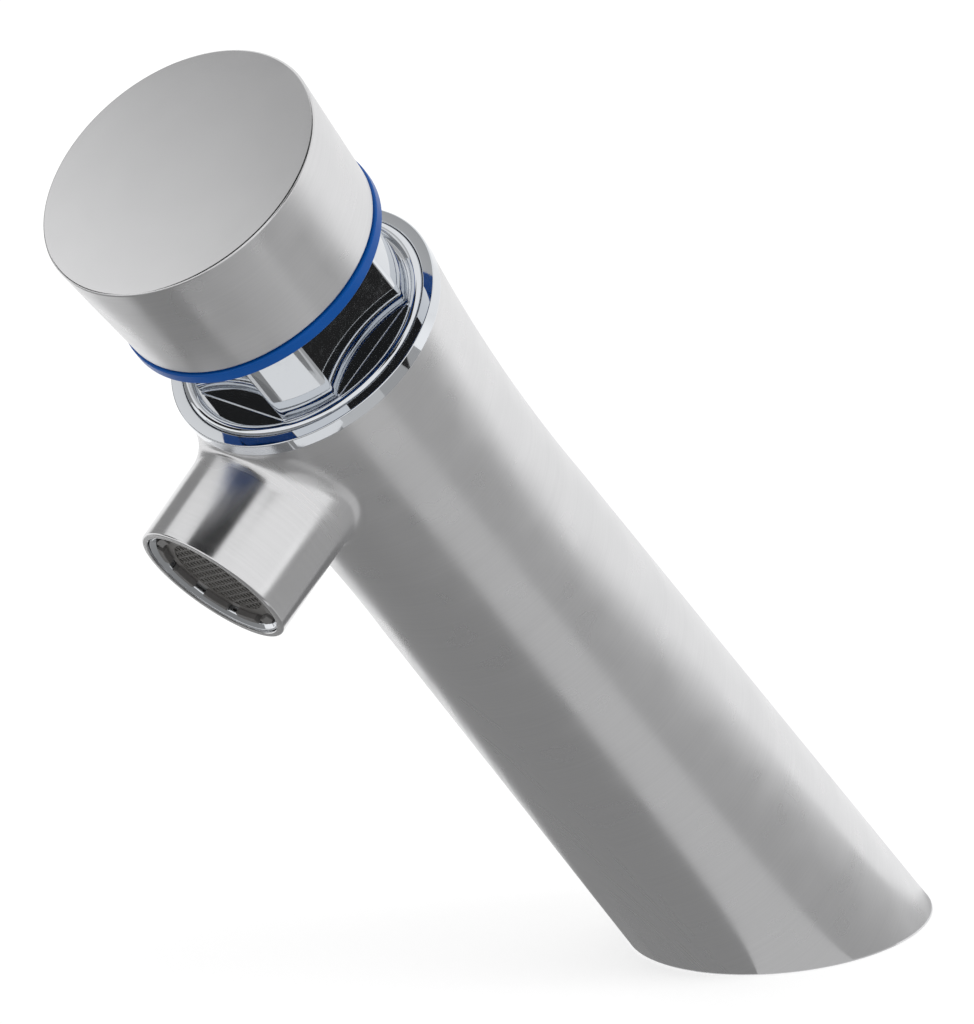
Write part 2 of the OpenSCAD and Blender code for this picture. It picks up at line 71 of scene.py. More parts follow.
class Line(Enum):
    """The two axes that the pieces are turned about."""

    BODY = Euler((LEAN, 0.0, 0.0)).to_matrix().to_4x4()
    SPOUT = (
        Euler((LEAN, 0.0, 0.0)).to_matrix().to_4x4()
        @ Matrix.Translation((0.0, 0.0, SPOUT_T))
        @ Euler((SPOUT_ANGLE, 0.0, 0.0)).to_matrix().to_4x4()
    )


class Part(Enum):
    """The bodies that new pieces ride on."""

    TAP = "tap"
    CAP = "cap"


# Modelling


def deselect() -> None:
    if bpy.context.object and bpy.context.object.mode != "OBJECT":
        bpy.ops.object.mode_set(mode="OBJECT")
    bpy.ops.object.select_all(action="DESELECT")


def only(piece: Thing) -> None:
    """Selects one object alone and makes it the active one."""
    deselect()
    piece.select_set(True)
    bpy.context.view_layer.objects.active = piece


def modify(piece: Thing, kind: str, **settings: object) -> None:
    """Gives the active object a modifier with these settings and applies it."""
    bpy.ops.object.modifier_add(type=kind)
    modifier = piece.modifiers[-1]
    for name, value in settings.items():
        setattr(modifier, name, value)
    bpy.ops.object.modifier_apply(modifier=modifier.name)


def radial(radius: float, t: float) -> Place:
    """A place function that puts a vertex at a radius and a height, at the angle it has."""

    def place(co: Vector) -> Vector:
        """Keeps the angle of co and gives it the radius and the height."""
        angle = math.atan2(co.y, co.x)
        return Vector((radius * math.cos(angle), radius * math.sin(angle), t))

    return place


def stepped(*values: float) -> list[Pair]:
    """Corners of a profile that runs by turns along the radius and along the height.

    Args:
        values: A radius and a height by turns, each of which ends one straight run.

    Returns:
        Radius and height of every corner.
    """
    return [(a, b) if i % 2 == 0 else (b, a) for i, (a, b) in enumerate(zip(values, values[1:]))]


class Lathe:
    """Models one piece in edit mode from a circle whose edge loop is extruded again and again.

    Every vertex of a loop has a number round it, and an extruded loop keeps the numbers.
    """

    def __init__(self, name: str, radius: float, t: float, sides: int = SIDES) -> None:
        """Adds the first circle and leaves its loop selected.

        Args:
            name: Name of the piece.
            radius: Radius of the circle.
            t: Height of the circle.
            sides: Vertices round the circle.
        """
        deselect()
        bpy.ops.mesh.primitive_circle_add(vertices=sides, radius=radius, location=(0, 0, 0))
        self.piece = bpy.context.object
        self.piece.name = name
        self.piece.data.name = name
        bpy.ops.object.mode_set(mode="EDIT")
        bpy.ops.mesh.select_mode(type="VERT")
        bpy.ops.mesh.select_all(action="SELECT")
        mesh = bmesh.from_edit_mesh(self.piece.data)
        number = mesh.verts.layers.int.new("number")
        for vert in mesh.verts:
            angle = math.atan2(vert.co.y, vert.co.x)
            vert[number] = round(angle / math.tau * sides) % sides
            vert.co.z = t
        bmesh.update_edit_mesh(self.piece.data)

    @classmethod
    def ring(cls, name: str, profile: Sequence[Pair]) -> "Lathe":
        """Models a ring from a profile that ends where it starts."""
        lathe = cls(name, *profile[0])
        lathe.turn(profile[1:])
        lathe.close()
        return lathe

    def chosen(self) -> tuple[bmesh.types.BMesh, list[bmesh.types.BMVert]]:
        """Returns: the edit mesh and its selected vertices."""
        mesh = bmesh.from_edit_mesh(self.piece.data)
        return mesh, [vert for vert in mesh.verts if vert.select]

    def extrude(self, place: Place) -> None:
        """Extrudes the selected loop and puts each new vertex where place says.

        Args:
            place: Gives the new place of a vertex from its old one.
        """
        bpy.ops.mesh.extrude_edges_move()
        _, verts = self.chosen()
        for vert in verts:
            vert.co = place(vert.co)
        bmesh.update_edit_mesh(self.piece.data)

    def extrude_row(self, row: Sequence[Vector]) -> None:
        """Extrudes the selected loop onto a row of points, one for each vertex number."""
        bpy.ops.mesh.extrude_edges_move()
        self.put(row)

    def put(self, row: Sequence[Vector]) -> None:
        """Moves the selected loop onto a row of points.

        Args:
            row: The points, in the order of the vertex numbers.
        """
        mesh, verts = self.chosen()
        number = mesh.verts.layers.int["number"]
        for vert in verts:
            vert.co = row[vert[number]]
        bmesh.update_edit_mesh(self.piece.data)

    def turn(self, profile: Sequence[Pair]) -> None:
        """Extrudes the selected loop through every radius and height of a profile."""
        for radius, t in profile:
            self.extrude(radial(radius, t))

    def fill(self) -> None:
        """Closes the selected loop with one flat face."""
        bpy.ops.mesh.edge_face_add()

    def select_open(self, test: Callable[[Vector], bool]) -> None:
        """Selects the open edges whose middle passes a test, and nothing else."""
        bpy.ops.mesh.select_all(action="DESELECT")
        mesh = bmesh.from_edit_mesh(self.piece.data)
        for edge in mesh.edges:
            middle = (edge.verts[0].co + edge.verts[1].co) / 2
            if len(edge.link_faces) == 1 and test(middle):
                edge.select_set(True)
        bmesh.update_edit_mesh(self.piece.data)

    def select_faces(self, test: Callable[[Vector], bool]) -> None:
        """Selects the faces whose middle passes a test, and nothing else."""
        bpy.ops.mesh.select_mode(type="FACE")
        bpy.ops.mesh.select_all(action="DESELECT")
        mesh = bmesh.from_edit_mesh(self.piece.data)
        for face in mesh.faces:
            face.select_set(test(face.calc_center_median()))
        bmesh.update_edit_mesh(self.piece.data)

    def close(self) -> None:
        """Joins the last loop to the first one where the two lie on each other."""
        bpy.ops.mesh.select_all(action="SELECT")
        bpy.ops.mesh.remove_doubles(threshold=0.0005)

    def leave(self) -> Thing:
        """Turns the faces outwards, leaves edit mode and returns the object."""
        bpy.ops.mesh.select_all(action="SELECT")
        bpy.ops.mesh.normals_make_consistent(inside=False)
        bpy.ops.object.mode_set(mode="OBJECT")
        self.piece.data.attributes.remove(self.piece.data.attributes["number"])
        return self.piece

    def finish(self, line: Line, edge: float = 0.0, segments: int = 3) -> Thing:
        """Leaves edit mode, rounds the edges and puts the piece in its place.

        Args:
            line: The axis that the piece is turned about.
            edge: Width of the rounding on sharp edges, in millimetres, or 0 for none.
            segments: Faces across the rounding.

        Returns:
            The finished object, at the origin, with its place in its mesh.
        """
        return settle(self.leave(), line, edge, segments)


def settle(piece: Thing, line: Line, edge: float, segments: int = 3) -> Thing:
    """Rounds a piece's edges, smooths it and moves it from its own axis to the frame.

    Args:
        piece: The object, modelled in millimetres about its own z axis.
        line: The axis that it belongs on.
        edge: Width of the rounding, in millimetres, or 0 for none.
        segments: Faces across the rounding.

    Returns:
        The same object.
    """
    only(piece)
    if edge > 0.0:
        modify(
            piece, "BEVEL", width=edge, segments=segments, limit_method="ANGLE",
            angle_limit=math.radians(35.0), miter_outer="MITER_ARC",
        )
    bpy.ops.object.shade_smooth_by_angle(angle=math.radians(38.0))
    modify(piece, "WEIGHTED_NORMAL", keep_sharp=True)
    piece.data.transform(Matrix.Scale(MM, 4) @ line.value)
    piece.matrix_world = Matrix.Identity(4)
    piece.data.update()
    return piece


# Finishes


def linear(code: str) -> tuple[float, float, float, float]:
    """Turns an sRGB hex code such as "A0B1C2" into linear red, green, blue and alpha."""
    parts = [int(code[i : i + 2], 16) / 255 for i in (0, 2, 4)]
    values = [p / 12.92 if p <= 0.04045 else ((p + 0.055) / 1.055) ** 2.4 for p in parts]
    return values[0], values[1], values[2], 1.0


def add_node(tree: Tree, kind: str, settings: dict | None = None, links: dict | None = None) -> Node:
    """Adds one node with its settings and its links.

    Args:
        tree: The node tree.
        kind: The node's type, such as "ShaderNodeTexNoise".
        settings: Values by the name of a property or of an input, or by an input's number.
        links: Output sockets by the name or number of the input that they feed.

    Returns:
        The new node.
    """
    node = tree.nodes.new(kind)
    for name, value in (settings or {}).items():
        if isinstance(name, int) or name in node.inputs:
            node.inputs[name].default_value = value
        else:
            setattr(node, name, value)
    for name, socket in (links or {}).items():
        tree.links.new(socket, node.inputs[name])
    return node


def new_material(name: str) -> tuple[Material, Tree]:
    """Makes an empty node material and returns it with its tree."""
    material = bpy.data.materials.new(name)
    material.use_nodes = True
    material.node_tree.nodes.clear()
    return material, material.node_tree


def local_coordinates(tree: Tree, line: Line) -> Socket:
    """Returns: object coordinates in millimetres, turned so that the line is their z axis."""
    coordinates = add_node(tree, "ShaderNodeTexCoord")
    start = line.value.to_translation() * MM
    moved = add_node(
        tree, "ShaderNodeVectorMath", {"operation": "SUBTRACT", 1: start},
        {0: coordinates.outputs["Object"]},
    )
    back = line.value.to_3x3().inverted().to_euler()
    return add_node(
        tree, "ShaderNodeMapping",
        {"vector_type": "POINT", "Rotation": back, "Scale": (1 / MM, 1 / MM, 1 / MM)},
        {"Vector": moved.outputs[0]},
    ).outputs["Vector"]


def noise(tree: Tree, vector: Socket, scale: float, detail: float, **more: float) -> Socket:
    """Adds a noise pattern.

    Args:
        tree: The node tree.
        vector: The coordinates, in millimetres.
        scale: Lumps in a millimetre.
        detail: Number of finer layers.
        more: Other inputs of the texture, by their names in lower case.

    Returns:
        Its strength, from 0 to 1.
    """
    settings = {"Scale": scale, "Detail": detail}
    settings.update({name.capitalize(): value for name, value in more.items()})
    return add_node(tree, "ShaderNodeTexNoise", settings, {"Vector": vector}).outputs["Fac"]


def ranged(tree: Tree, value: Socket, source: Pair, target: Pair, kind: str = "LINEAR") -> Socket:
    """Turns a value that runs over one range into a value that runs over another.

    Args:
        tree: The node tree.
        value: The value.
        source: Ends of its own range.
        target: Ends of the new range.
        kind: How it runs from end to end.

    Returns:
        The new value.
    """
    ends = dict(zip(("From Min", "From Max", "To Min", "To Max"), (*source, *target)))
    settings = {"interpolation_type": kind, **ends}
    return add_node(tree, "ShaderNodeMapRange", settings, {"Value": value}).outputs[0]


def reckoned(tree: Tree, operation: str, first: Socket, second: Socket) -> Socket:
    """Returns: what an operation such as "MULTIPLY" makes of two values."""
    return add_node(tree, "ShaderNodeMath", {"operation": operation}, {0: first, 1: second}).outputs[0]


def between(tree: Tree, first: str, second: str, share: Socket) -> Socket:
    """Returns: a colour that runs from one hex code to another."""
    settings = {"data_type": "RGBA", 6: linear(first), 7: linear(second)}
    return add_node(tree, "ShaderNodeMix", settings, {0: share}).outputs[2]


def mixed(tree: Tree, mask: Socket, first: Socket, second: Socket) -> Socket:
    """Returns: the first vector where the mask is 0, running into the second where it is 1."""
    return add_node(
        tree, "ShaderNodeMix", {"data_type": "VECTOR"}, {0: mask, 4: first, 5: second}
    ).outputs[1]


def relief(tree: Tree, height: Socket, depth: float) -> Socket:
    """Returns: normals that show a pattern as a relief, with its depth in millimetres."""
    settings = {"Strength": 1.0, "Distance": depth * MM}
    return add_node(tree, "ShaderNodeBump", settings, {"Height": height}).outputs[0]


def axis_of(tree: Tree, line: Line) -> Socket:
    """Returns: the line's direction as a world vector.

    The gloss of a brushed side is drawn out this way, square to the brushing.
    """
    along = line.value.to_3x3() @ Vector((0.0, 0.0, 1.0))
    return add_node(
        tree, "ShaderNodeVectorTransform",
        {"vector_type": "VECTOR", "convert_from": "OBJECT", "convert_to": "WORLD", 0: along},
    ).outputs[0]


@dataclass(frozen=True)
class Finish(ABC):
    """A finish, which becomes one node material."""

    name: str

    @abstractmethod
    def shading(self, tree: Tree) -> tuple[dict, dict]:
        """Adds the patterns to a tree. Returns: the settings and links of its shader."""

    def material(self) -> Material:
        """Returns: the node material of this finish."""
        made, tree = new_material(self.name)
        shader = add_node(tree, "ShaderNodeBsdfPrincipled", *self.shading(tree))
        add_node(tree, "ShaderNodeOutputMaterial", links={"Surface": shader.outputs[0]})
        return made


@dataclass(frozen=True)
class BrushedSteel(Finish):
    """Stainless steel ground with a fine belt round its axis.

    The eye gets a soft grey sheen whose bands stay sharp across the brushing and run out along
    it, with faint hair lines and slightly uneven gloss.
    """

    colour: str = "DBDBDC"
    roughness: float = 0.30
    spread: float = 0.04  # how far the gloss wanders
    anisotropy: float = 0.45
    line_mm: float = 0.35  # real hair lines are near 0.05 mm apart, too fine to show
    line_run: float = 0.035  # a hair line's share of unevenness along its own run
    line_depth: float = 0.00035  # millimetres
    line_dark: float = 0.95  # tone of the darkest hair line
    top_share: float = 0.6  # roughness of a face along the axis, as a share of the side's
    top_run: Pair = (0.7, 0.95)  # where a side turns into such a face, as a cosine
    spout_share: float = 0.66  # roughness of the spout, as a share of the body's
    spout_run: Pair = (24.0, 31.0)  # distances along the spout over which it changes
    turn_run: Pair = (22.0, 26.0)  # and over which the brushing turns to the spout's way
    with_spout: bool = False

    def shading(self, tree: Tree) -> tuple[dict, dict]:
        """Returns: the settings and links of its shader."""
        lines, tangent = local_coordinates(tree, Line.BODY), axis_of(tree, Line.BODY)
        fixed, links = {"Metallic": 1.0}, {}
        if self.with_spout:
            spout = local_coordinates(tree, Line.SPOUT)
            reach = add_node(tree, "ShaderNodeSeparateXYZ", links={0: spout}).outputs["Z"]
            mask = ranged(tree, reach, self.turn_run, (0.0, 1.0), "SMOOTHSTEP")
            lines = mixed(tree, mask, lines, spout)
            tangent = mixed(tree, mask, tangent, axis_of(tree, Line.SPOUT))
            share = ranged(tree, reach, self.spout_run, (1.0, self.spout_share))
            fixed["Anisotropic"] = self.anisotropy
        else:
            flat = self.flatness(tree)
            share = ranged(tree, flat, self.top_run, (1.0, self.top_share))
            links["Anisotropic"] = ranged(tree, flat, self.top_run, (self.anisotropy, 0.0))
        hair = add_node(
            tree, "ShaderNodeMapping", {"Scale": (self.line_run, self.line_run, 1.0 / self.line_mm)},
            {"Vector": lines},
        )
        grain = noise(tree, hair.outputs[0], 1.0, 3.0, roughness=0.6)
        clouds = noise(tree, lines, 0.12, 2.0)
        gloss = ranged(
            tree, clouds, (0.3, 0.7), (self.roughness - self.spread, self.roughness + self.spread)
        )
        tone = ranged(tree, grain, (0.25, 0.75), (self.line_dark, 1.0))
        colour = add_node(
            tree, "ShaderNodeMix",
            {"data_type": "RGBA", "blend_type": "MULTIPLY", "Factor": 1.0, 6: linear(self.colour)},
            {7: tone},
        )
        links["Base Color"] = colour.outputs[2]
        links["Roughness"] = reckoned(tree, "MULTIPLY", gloss, share)
        links["Normal"] = relief(tree, grain, self.line_depth)
        links["Tangent"] = tangent
        return fixed, links

    def flatness(self, tree: Tree) -> Socket:
        """Returns: 1 on a face that looks along the body's axis, and 0 on the side."""
        facing = add_node(tree, "ShaderNodeNewGeometry").outputs["Normal"]
        return add_node(
            tree, "ShaderNodeVectorMath", {"operation": "DOT_PRODUCT"},
            {0: facing, 1: axis_of(tree, Line.BODY)},
        ).outputs["Value"]


@dataclass(frozen=True)
class PolishedChrome(Finish):
    """Bright chrome plate on brass, buffed.

    It mirrors the studio sharply, with a trace of cool blue, faint wipe marks in its gloss and a
    very slight waviness from buffing.
    """

    colour: str = "D9DCE0"
    roughness: float = 0.035
    wipe: float = 0.05  # what a wipe mark adds to the roughness
    wave_mm: float = 4.0
    wave_depth: float = 0.0012  # millimetres

    def shading(self, tree: Tree) -> tuple[dict, dict]:
        """Returns: the settings and links of its shader."""
        local = local_coordinates(tree, Line.BODY)
        wave = noise(tree, local, 1.0 / self.wave_mm, 1.0)
        wipes = noise(tree, local, 0.6, 4.0, distortion=1.5)
        gloss = ranged(tree, wipes, (0.45, 0.8), (self.roughness, self.roughness + self.wipe))
        return (
            {"Base Color": linear(self.colour), "Metallic": 1.0},
            {"Roughness": gloss, "Normal": relief(tree, wave, self.wave_depth)},
        )


@dataclass(frozen=True)
class Moulded(Finish):
    """Injection-moulded plastic or pressed rubber.

    A fine mould texture breaks up the gloss, and a broad, faint change of tone keeps large faces
    from looking dead.
    """

    colour: str
    second: str
    roughness: float
    grain_mm: float = 0.4
    grain_depth: float = 0.004  # millimetres
    specular: float = 0.5

    def shading(self, tree: Tree) -> tuple[dict, dict]:
        """Returns: the settings and links of its shader."""
        local = local_coordinates(tree, Line.BODY)
        grain = noise(tree, local, 1.0 / self.grain_mm, 2.0)
        flow = noise(tree, local, 0.15, 2.0)
        gloss = ranged(tree, grain, (0.0, 1.0), (self.roughness * 0.85, self.roughness * 1.15))
        return {"Specular IOR Level": self.specular}, {
            "Base Color": between(tree, self.colour, self.second, flow),
            "Roughness": gloss,
            "Normal": relief(tree, grain, self.grain_depth),
        }


@dataclass(frozen=True)
class TurnedMetal(Finish):
    """Brass, copper or steel straight from the lathe, the drawing bench or the wire mill.

    Fine tool rings run about the body's axis, and the colour is a little uneven from handling.
    """

    colour: str
    second: str
    roughness: float = 0.25
    ring_mm: float = 0.25  # the feed of a finishing cut
    ring_depth: float = 0.002  # millimetres

    def shading(self, tree: Tree) -> tuple[dict, dict]:
        """Returns: the settings and links of its shader."""
        local = local_coordinates(tree, Line.BODY)
        rings = add_node(
            tree, "ShaderNodeTexWave",
            {"wave_type": "BANDS", "bands_direction": "Z", "wave_profile": "SIN",
             "Scale": math.tau / self.ring_mm / 20.0, "Distortion": 0.4, "Detail": 1.0},
            {"Vector": local},
        )
        stain = noise(tree, local, 0.2, 4.0)
        gloss = ranged(tree, stain, (0.0, 1.0), (self.roughness * 0.8, self.roughness * 1.3))
        return {"Metallic": 1.0}, {
            "Base Color": between(tree, self.colour, self.second, stain),
            "Roughness": gloss,
            "Normal": relief(tree, rings.outputs["Fac"], self.ring_depth),
        }


def dress(piece: Thing, material: Material, part: Part, slot: str) -> None:
    """Gives a new piece its only material and its body."""
    piece.data.materials.clear()
    piece.data.materials.append(material)
    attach(piece, part.value)
    LOG.info("%s: %d faces, rides on %s", piece.name, len(piece.data.polygons), part.value)


# Pieces


@dataclass
class BodyShell:
    """Leaning round body with the spout cast on, hollow foot, cartridge chamber and outlet."""

    foot_r: float = 22.9
    waist_r: float = 21.15
    waist_t: float = 121.5
    top_r: float = 24.35
    length: float = 171.5
    overrun: float = 192.0  # the wall is first made this long, and then cut at its length
    window_columns: int = 60
    window_rows: int = 36
    window_low: float = 136.0
    window_high: float = 189.0
    oval_rows: int = 14  # rows that come level with the axis, from the deck up to level_t
    level_t: float = 40.0
    plain_rows: int = 24  # rows from there up to the window
    spout_r: float = 13.9
    reach: float = 41.3
    lip_r: float = 0.45
    lip_chamfer: float = 0.1
    wall_rings: int = 12  # loops from the window's edge to the root blend
    blend_steps: int = 16
    spout_steps: int = 10
    recess_r: float = 12.7
    recess_d: float = 39.3  # a distance along the spout, like the next ones
    seat_r: float = 12.0
    seat_d: float = 29.8
    water_way_r: float = 6.0
    water_way_d: float = 21.0
    blend_low: float = 1.4  # radius of the root blend under the spout
    blend_rise: float = 5.6  # and how much larger it would be above it
    blend_top: float = 14.75  # from the spout's line up to the collar
    hollow_r: float = 16.0
    hollow_level: float = 36.0  # where its first level row is
    hollow_top: float = 98.0
    chamber_t: float = 112.0
    chamber_r: float = 16.0
    thread_r: float = 18.0
    thread_t: float = 164.5
    gasket_mid_r: float = 19.05
    gasket_half: float = 1.2
    gasket_depth: float = 2.0
    lock_r: float = 2.6
    lock_t: float = 19.0
    lock_y: float = 20.0  # middle of the drill
    lock_depth: float = 12.0
    flare_r: float = field(init=False)
    flare_centre: Vector = field(init=False)

    def __post_init__(self) -> None:
        """Works out the arc that flares the body up to the collar."""
        rise = self.length - self.waist_t
        out = self.top_r - self.waist_r
        self.flare_r = (rise**2 + out**2) / (2 * out)
        self.flare_centre = Vector((self.waist_r + self.flare_r, self.waist_t))

    def wall_r(self, t: float) -> float:
        """Outer radius of the body at a place on its axis.

        Args:
            t: The place, in millimetres.

        Returns:
            The radius of the cone below and of the flare above.
        """
        cone = self.foot_r + (self.waist_r - self.foot_r) * t / self.waist_t
        slope = (self.foot_r - self.waist_r) / self.waist_t
        touch = self.waist_t - self.flare_r * math.sin(math.atan(slope))
        if t < touch:
            return cone
        return self.flare_centre.x - math.sqrt(self.flare_r**2 - (t - self.waist_t) ** 2)

    def on_wall(self, angle: float, t: float) -> Vector:
        """Point of the outer wall at an angle and a place on the axis."""
        radius = self.wall_r(t)
        return Vector((radius * math.cos(angle), radius * math.sin(angle), t))

    def at_deck(self, radius: float, z: float) -> Place:
        """A place function on the level oval that a leaning cylinder has at a height over the deck.

        Args:
            radius: Radius of the cylinder.
            z: Height over the deck.

        Returns:
            The place function, which keeps a vertex's angle.
        """

        def place(co: Vector) -> Vector:
            """Slides co along the axis until it is level with z."""
            angle = math.atan2(co.y, co.x)
            x, y = radius * math.cos(angle), radius * math.sin(angle)
            return Vector((x, y, (z - y * math.sin(LEAN)) / math.cos(LEAN)))

        return place

    def deck_row(self) -> list[Vector]:
        """Returns: the outer oval at the deck, one point for each vertex number."""
        row = []
        for k in range(SIDES):
            angle = math.tau * k / SIDES
            t = 0.0
            for _ in range(6):  # by then the radius and the place agree
                t = -self.wall_r(t) * math.sin(angle) * math.tan(LEAN)
            row.append(self.on_wall(angle, t))
        return row

    def blend_r(self, turn: float) -> float:
        """Radius of the root blend at an angle round the spout, as large as the collar leaves room."""
        wanted = self.blend_low + self.blend_rise * ((1.0 + math.sin(turn)) / 2.0) ** 0.8
        if math.sin(turn) <= 0.1:
            return wanted
        room = self.blend_top / math.sin(turn) - self.spout_r
        return (wanted**-4 + room**-4) ** -0.25

    def blend_rows(self, steps: int) -> list[list[Vector]]:
        """Rows of the rolling-ball blend, from its line on the body to its line on the spout.

        Args:
            steps: Faces across the blend.

        Returns:
            The rows, each with one point for each vertex number.
        """
        out = Line.SPOUT.value.to_3x3()
        lean_back = Line.BODY.value.to_3x3().inverted()
        along = lean_back @ out @ Vector((0, 0, 1))
        side = lean_back @ out @ Vector((1, 0, 0))
        up = lean_back @ out @ Vector((0, 1, 0))
        start = Vector((0.0, 0.0, SPOUT_T))
        rows: list[list[Vector]] = [[] for _ in range(steps + 1)]
        for k in range(SIDES):
            turn = math.tau * k / SIDES
            ball = self.blend_r(turn)
            ray = side * math.cos(turn) + up * math.sin(turn)
            low, high = 10.0, 60.0  # the ball's centre lies between these distances along the spout
            for _ in range(40):
                reach = (low + high) / 2
                centre = start + along * reach + ray * (self.spout_r + ball)
                meridian = Vector((math.hypot(centre.x, centre.y), centre.z))
                gap = self.flare_r - (meridian - self.flare_centre).length
                low, high = (reach, high) if gap < ball else (low, reach)
            flat = self.flare_centre + (meridian - self.flare_centre).normalized() * self.flare_r
            scale = flat.x / meridian.x
            on_body = Vector((centre.x * scale, centre.y * scale, flat.y))
            on_spout = centre - ray * ball
            first, last = (on_body - centre).normalized(), (on_spout - centre).normalized()
            for i in range(steps + 1):
                rows[i].append(centre + first.slerp(last, i / steps) * ball)
        return rows

    def window_edge(self) -> list[Pair]:
        """Angle and place of every vertex round the window in the wall, from its middle at +X up."""
        half_c, half_r = self.window_columns // 2, self.window_rows // 2
        steps = [(half_c, j) for j in range(half_r)]
        steps += [(half_c - i, half_r) for i in range(2 * half_c)]
        steps += [(-half_c, half_r - j) for j in range(2 * half_r)]
        steps += [(-half_c + i, -half_r) for i in range(2 * half_c)]
        steps += [(half_c, -half_r + j) for j in range(half_r)]
        middle = (self.window_low + self.window_high) / 2
        row_h = (self.window_high - self.window_low) / self.window_rows
        return [(-math.pi / 2 + math.tau * i / SIDES, middle + j * row_h) for i, j in steps]

    def build(self) -> Thing:
        """Models the shell from the deck up, opens the window for the spout and fills the inside.

        Returns:
            The finished piece.
        """
        lathe = Lathe("body_shell", self.foot_r, 0.0)
        deck = self.deck_row()
        lathe.put(deck)
        level = self.level_t
        for i in range(1, self.oval_rows + 1):
            share = i / self.oval_rows
            lathe.extrude_row([
                self.on_wall(math.tau * k / SIDES, co.z + (level - co.z) * share)
                for k, co in enumerate(deck)
            ])
        plain = self.plain_rows
        rows = [level + (self.window_low - level) * i / plain for i in range(1, plain + 1)]
        step = (self.window_high - self.window_low) / self.window_rows
        rows += [self.window_low + step * i for i in range(1, self.window_rows + 1)]
        rows.append(self.overrun)
        lathe.turn([(self.wall_r(t), t) for t in rows])
        self.open_window(lathe)
        self.cast_spout(lathe)
        self.cut_top(lathe)
        self.cut_foot(lathe)
        shell = lathe.leave()
        self.drill_lock_hole(shell)
        return settle(shell, Line.BODY, 0.0)

    def open_window(self, lathe: Lathe) -> None:
        """Deletes the wall's faces inside the window and leaves its edge selected and numbered."""
        half = math.tau * (self.window_columns / 2) / SIDES
        lathe.select_faces(
            lambda co: abs(math.atan2(co.y, co.x) + math.pi / 2) < half
            and self.window_low < co.z < self.window_high
        )
        bpy.ops.mesh.delete(type="FACE")
        bpy.ops.mesh.select_mode(type="VERT")
        lathe.select_open(lambda co: self.window_low - 1 < co.z < self.window_high + 1)
        mesh, verts = lathe.chosen()
        number = mesh.verts.layers.int["number"]
        edge = [self.on_wall(angle, t) for angle, t in self.window_edge()]
        for vert in verts:
            vert[number] = min(range(SIDES), key=lambda k: (edge[k] - vert.co).length_squared)
        bmesh.update_edit_mesh(lathe.piece.data)

    def cast_spout(self, lathe: Lathe) -> None:
        """Extrudes the window's edge over the wall, the root blend, the spout and its outlet."""
        blend = self.blend_rows(self.blend_steps)
        edge = self.window_edge()
        for i in range(1, self.wall_rings):
            share = i / self.wall_rings
            row = []
            for (angle, t), target in zip(edge, blend[0]):
                to = math.atan2(target.y, target.x)
                row.append(self.on_wall(angle + (to - angle) * share, t + (target.z - t) * share))
            lathe.extrude_row(row)
        for row in blend:
            lathe.extrude_row(row)
        spout = Line.BODY.value.inverted() @ Line.SPOUT.value
        back = spout.inverted()
        local = [back @ co for co in blend[-1]]
        end = self.reach - self.lip_r
        steps = self.spout_steps
        for i in range(1, steps + 1):
            lathe.extrude_row([
                spout @ Vector((co.x, co.y, co.z + (end - co.z) * i / steps)) for co in local
            ])
        outlet = [
            (self.spout_r - self.lip_r * (1 - math.cos(a)), end + self.lip_r * math.sin(a))
            for a in (math.radians(22.5 * i) for i in range(1, 5))
        ]
        outlet += [
            (self.recess_r + self.lip_chamfer, self.reach), (self.recess_r, self.reach - self.lip_chamfer),
        ]
        outlet += stepped(
            self.recess_r, self.recess_d, self.seat_r, self.seat_d, self.water_way_r, self.water_way_d
        )
        for radius, d in outlet:
            scale = radius / self.spout_r
            lathe.extrude_row([spout @ Vector((co.x * scale, co.y * scale, d)) for co in local])
        lathe.fill()

    def cut_top(self, lathe: Lathe) -> None:
        """Cuts the wall at its length, then models the top's rim, the thread and the chamber."""
        bpy.ops.mesh.select_all(action="SELECT")
        bpy.ops.mesh.bisect(plane_co=(0, 0, self.length), plane_no=(0, 0, 1), clear_outer=True,
                            threshold=0.0001)
        lathe.select_open(lambda co: co.z > self.length - 0.01)
        lathe.turn([(self.thread_r, self.length)])
        lathe.turn(stepped(self.thread_r, self.thread_t, self.chamber_r, self.chamber_t))
        lathe.fill()

    def cut_foot(self, lathe: Lathe) -> None:
        """Models the level sole with the gasket's groove, and the hollow in the foot."""
        margin = 8.0
        oval = math.tan(LEAN) * self.foot_r + margin
        lathe.select_open(lambda co: abs(co.z) < oval)
        inner, outer = self.gasket_mid_r - self.gasket_half, self.gasket_mid_r + self.gasket_half
        groove = [(outer, 0.0), *stepped(outer, self.gasket_depth, inner, 0.0, self.hollow_r)]
        for radius, z in groove:
            lathe.extrude(self.at_deck(radius, z))
        lathe.turn([(self.hollow_r, self.hollow_level), (self.hollow_r, self.hollow_top)])
        lathe.fill()

    def drill_lock_hole(self, shell: Thing) -> None:
        """Drills the hole for the locking screw through the back wall of the foot."""
        deselect()
        bpy.ops.mesh.primitive_cylinder_add(
            vertices=48, radius=self.lock_r, depth=self.lock_depth,
            location=(0.0, self.lock_y, self.lock_t), rotation=(math.radians(90.0), 0.0, 0.0),
        )
        drill = bpy.context.object
        only(shell)
        modify(shell, "BOOLEAN", operation="DIFFERENCE", object=drill, solver="EXACT")
        only(drill)
        bpy.ops.object.delete()


